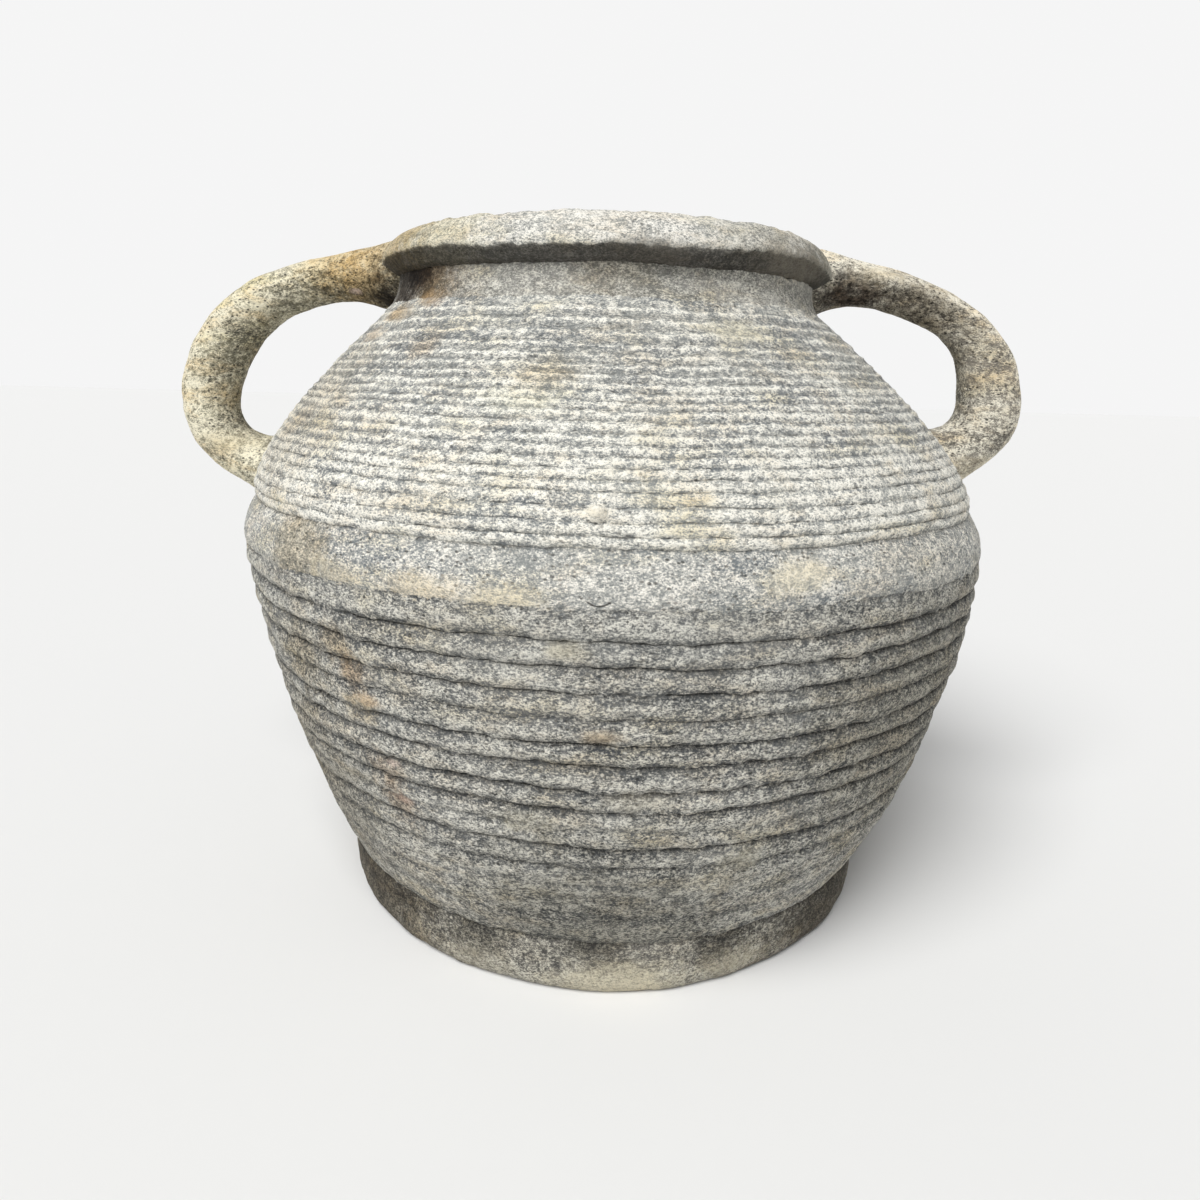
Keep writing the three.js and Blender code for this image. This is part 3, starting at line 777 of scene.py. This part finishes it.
# %% A smooth path and a rod along it
def smooth_path(points, steps):
    """Evenly spaced points on a smooth curve through (x, z) points in millimetres."""
    curve = bpy.data.curves.new("path", "CURVE")
    curve.dimensions = "3D"
    curve.resolution_u = 60
    spline = curve.splines.new("BEZIER")
    spline.bezier_points.add(len(points) - 1)
    for knot, (x, z) in zip(spline.bezier_points, points):
        knot.co = (x * MM, 0, z * MM)
        knot.handle_left_type = knot.handle_right_type = "AUTO"
    holder = bpy.data.objects.new("path", curve)
    track = np.array([v.co for v in holder.to_mesh().vertices])
    holder.to_mesh_clear()
    bpy.data.objects.remove(holder)
    bpy.data.curves.remove(curve)
    run = np.concatenate([[0], np.cumsum(np.linalg.norm(np.diff(track, axis=0), axis=1))])
    even = np.linspace(0, run[-1], steps + 1)
    return [Vector((np.interp(s, run, track[:, 0]), 0, np.interp(s, run, track[:, 2]))) for s in even]


def eased(table, share):
    """A value from a short table of (share, value) pairs, with its corners rounded off."""
    shares, values = zip(*table)
    return float(np.interp(share + np.linspace(-0.04, 0.04, 9), shares, values).mean())


def pull_rod(points, thick, wide, squareness, twist, edge, steps=260, sides=220):
    """A closed rod along a path. Its section goes from round, at squareness 2, towards a rounded square. Its
    crest is 0.9 on the side that faces out and up, and falls to 0.4 between the two cosines of its edge. The
    high crest gathers lime and the low crest darkens the clay, so the sides facing away from the light are
    darker: partly lime, partly painted light and shade."""
    bm = bmesh.new()
    sunk, crest, line, inner = (bm.verts.layers.float.new(n) for n in ("sunk", "crest", "line", "inner"))
    turn = bm.verts.layers.float.new("turn")
    track = smooth_path(points, steps)
    ring = bmesh.ops.create_circle(bm, segments=sides, radius=1)["verts"]
    for v in ring:
        v[turn] = math.atan2(v.co.y, v.co.x)
    outward = -math.copysign(1, points[0][0])
    edges = bm.edges[:]
    first = edges
    for i, centre in enumerate(track):
        if i:
            grown = bmesh.ops.extrude_edge_only(bm, edges=edges)["geom"]
            ring = [g for g in grown if isinstance(g, bmesh.types.BMVert)]
            fresh = set(ring)
            edges = [g for g in grown if isinstance(g, bmesh.types.BMEdge) and fresh.issuperset(g.verts)]
        share = i / steps
        along = (track[min(i + 1, steps)] - track[max(i - 1, 0)]).normalized()
        out = Vector((along.z, 0, -along.x)) * outward * eased(thick, share) / 2 * MM
        side = Vector((0, eased(wide, share) / 2 * MM, 0))
        angles = np.array([v[turn] for v in ring])
        spun = angles - math.radians(eased(twist, share))
        power = eased(squareness, share)
        reach = (np.abs(np.cos(spun)) ** power + np.abs(np.sin(spun)) ** power) ** (-1 / power)
        across, deep = np.cos(angles) * reach, np.sin(angles) * reach
        # Paler on the side out and up and darker on the rest: partly lime, partly painted light and shade
        limed = 0.4 + 0.5 * ramp(np.cos(spun), *edge)
        for v, x, y, lime in zip(ring, across / across.max(), deep / deep.max(), limed):
            v.co = centre + out * float(x) + side * float(y)
            v[crest] = float(lime)
    for end in (first, edges):
        bmesh.ops.contextual_create(bm, geom=end)
    bmesh.ops.recalc_face_normals(bm, faces=bm.faces[:])
    return bm


def lapped(points):
    """A handle's points with its upper root pressed down over the rim's edge, so that none of it stands in
    the mouth or on the rim's flat top."""
    x, y, z = (points / MM).T
    x = x - LEAN[-1][1]
    radius = np.hypot(x, y)
    out = np.maximum(radius, 78.5) / radius
    height = np.minimum(z, np.interp(radius, (76, 80, 84, 88), (227, 231.3, 234, 242)))
    return np.column_stack([x * out + LEAN[-1][1], y * out, height]) * MM


# %% Pull the left handle
left_path = (
    (-74, 219.5), (-86.2, 219.6), (-97, 219.6), (-108.3, 218.9), (-118.1, 216.8), (-128.1, 213.9),
    (-144.3, 204.8), (-154.5, 193), (-159.6, 180.1), (-160.7, 170.1), (-158.9, 159.8), (-153.2, 151.7),
    (-143.4, 146), (-134, 142.5), (-126, 140),
)
bm = pull_rod(
    left_path,
    thick=(
        (0, 32), (0.08, 29), (0.15, 21.8), (0.22, 18.5), (0.4, 19.8), (0.55, 23.2), (0.68, 22.6), (0.8, 19),
        (0.88, 18.5), (0.95, 24), (1, 34),
    ),
    wide=(
        (0, 60), (0.07, 48), (0.12, 34), (0.18, 25), (0.3, 23), (0.6, 25), (0.88, 25), (0.95, 29), (1, 40),
    ),
    squareness=((0, 2), (0.3, 2.2), (0.7, 2.3), (1, 2)),
    twist=((0, -25), (1, -25)),
    edge=(-0.5, 0.7),
)
CHIP = ((-101.5, -11.5, 212), 6, 0.5, 2.5)
ROUGH_ROOT = ((-86, -14, 212), 18, 0, 1.5)
make_piece(
    bm, "round_rod_handle", "left_handle_clay", left_clay, ["handle_left"], bend=lapped,
    crust_mm=0.22, uneven_mm=0.45, bumps=(CHIP, ROUGH_ROOT),
)

# %% Pull the right handle
right_path = (
    (74, 221.5), (85.9, 222), (98.1, 221), (110.2, 218.6), (119.9, 215.3), (129.8, 210.8), (137.2, 205.4),
    (143.3, 198.4), (147.4, 190), (148.9, 180), (148.3, 171), (145.2, 164), (140, 158.6), (134, 155),
    (127, 152),
)
bm = pull_rod(
    right_path,
    thick=(
        (0, 30), (0.07, 23.5), (0.14, 19), (0.26, 17.6), (0.42, 17.4), (0.55, 18.8), (0.66, 21.4),
        (0.78, 22.4), (0.87, 19.6), (0.94, 19.5), (1, 25),
    ),
    wide=((0, 36), (0.07, 30), (0.14, 26), (0.3, 25), (0.6, 27), (0.88, 27), (0.95, 31), (1, 40)),
    squareness=((0, 2), (0.14, 2.2), (0.25, 3.6), (0.5, 3.2), (0.75, 2.6), (0.87, 2.2), (1, 2)),
    twist=((0, -29), (0.45, -29), (0.8, -4), (1, -4)),
    edge=(0.6, 0.85),
)
TORN_ROOT = ((92, -12, 212), 18, 0, 2.5)
KNUCKLE = ((140, -12, 196), 10, 0.3, 0.5)
make_piece(
    bm, "flattened_handle", "right_handle_clay", right_clay, ["handle_right"], bend=lapped,
    crust_mm=0.22, uneven_mm=0.4, bumps=(TORN_ROOT, KNUCKLE),
)

# %% [markdown]
# ## Floor and light
# A plain pale floor, one broad soft light from above and a little to the left, and pale walls all round.

# %% Floor, sky and lamp
sheet = bmesh.new()
bmesh.ops.create_grid(sheet, x_segments=1, y_segments=1, size=8)
floor = bpy.data.objects.new("backdrop_paper", bpy.data.meshes.new("backdrop_paper"))
sheet.to_mesh(floor.data)
sheet.free()
bpy.context.scene.collection.objects.link(floor)
paper = bpy.data.materials.new("pale backdrop paper")
paper.use_nodes = True
paper.node_tree.nodes["Principled BSDF"].inputs["Base Color"].default_value = rgb("#e8e8e7")
paper.node_tree.nodes["Principled BSDF"].inputs["Roughness"].default_value = 0.9
floor.data.materials.append(paper)

world = bpy.data.worlds.new("pale studio")
world.use_nodes = True
bpy.context.scene.world = world
sky = world.node_tree
rays = add(sky, "LightPath")
seen = rays.outputs["Is Camera Ray"]
for other in ("Is Glossy Ray", "Is Transmission Ray"):
    seen = add(sky, "Math", {0: seen, 1: rays.outputs[other]}, operation="MAXIMUM").outputs[0]
strength = add(sky, "MapRange", {"Value": seen, "To Min": 0.28, "To Max": 0.915})
sky.nodes["Background"].inputs["Color"].default_value = rgb("#ffffff")
sky.links.new(strength.outputs[0], sky.nodes["Background"].inputs["Strength"])

lamp = bpy.data.objects.new("overhead_window", bpy.data.lights.new("overhead_window", "SUN"))
lamp.data.energy = 3.35
lamp.data.angle = math.radians(36)
lamp.rotation_euler = Vector((-0.24, -0.62, 0.76)).to_track_quat("Z", "Y").to_euler()
bpy.context.scene.collection.objects.link(lamp)
bpy.context.scene.view_settings.view_transform = "Standard"
print("sun over the left shoulder, strength", round(lamp.data.energy, 1))
